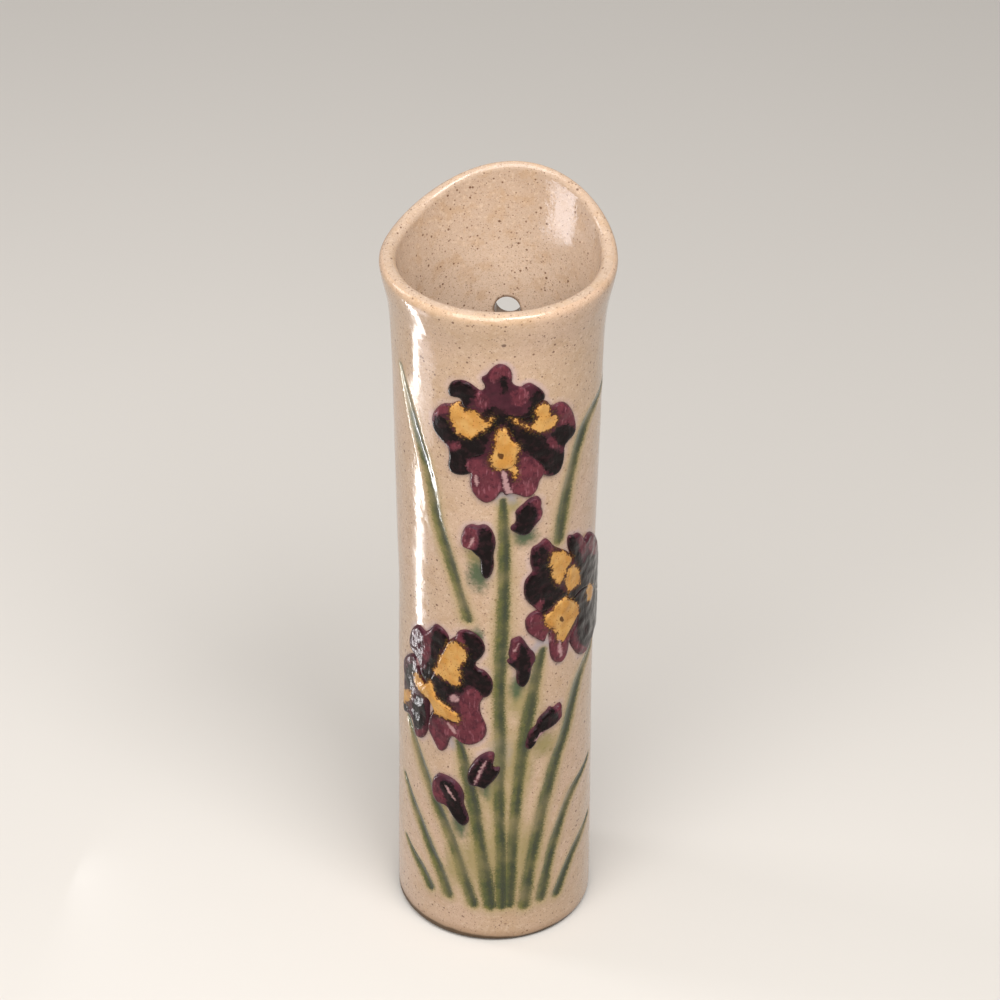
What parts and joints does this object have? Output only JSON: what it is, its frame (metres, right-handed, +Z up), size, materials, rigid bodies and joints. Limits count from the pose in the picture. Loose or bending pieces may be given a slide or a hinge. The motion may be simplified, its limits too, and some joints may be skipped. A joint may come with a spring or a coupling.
{
  "type": "hanging wall vase",
  "caption": "Tall round wall vase with a flared mouth that rises at the back, a nail hole near the top of the back, and applied flowers and buds on the front.",
  "frame": {"origin": "centre of the flat face the vase stands on", "axes": "+Z up along the tube, the flowered front faces -Y, the back with the nail hole faces +Y, +X is on the right as seen from the front"},
  "size_m": [0.0694, 0.0703, 0.2472],
  "materials": {
    "vessel_glaze": "glossy oatmeal glaze with fine iron specks and green brushed stems",
    "floor_clay": "bare fired stoneware below, glazed above",
    "petal_glaze": "glossy plum and black glaze",
    "throat_glaze": "glossy yellow glaze",
    "bud_glaze": "glossy plum and black glaze with green at the foot"
  },
  "bodies": {
    "root": {"wall": "vessel_glaze", "base_disc": "floor_clay", "top_flower_throat": "throat_glaze", "top_flower_lower_petal": "petal_glaze", "top_flower_left_petal": "petal_glaze", "top_flower_right_petal": "petal_glaze", "top_flower_upper_petal": "petal_glaze", "left_flower_throat": "throat_glaze", "left_flower_lower_petal": "petal_glaze", "left_flower_left_petal": "petal_glaze", "left_flower_right_petal": "petal_glaze", "left_flower_upper_petal": "petal_glaze", "right_flower_throat": "throat_glaze", "right_flower_lower_petal": "petal_glaze", "right_flower_left_petal": "petal_glaze", "right_flower_right_petal": "petal_glaze", "right_flower_upper_petal": "petal_glaze", "upper_left_bud": "bud_glaze", "upper_right_bud": "bud_glaze", "middle_bud": "bud_glaze", "lower_right_bud": "bud_glaze", "lower_middle_bud": "bud_glaze", "lower_left_bud": "bud_glaze"}
  },
  "joints": []
}
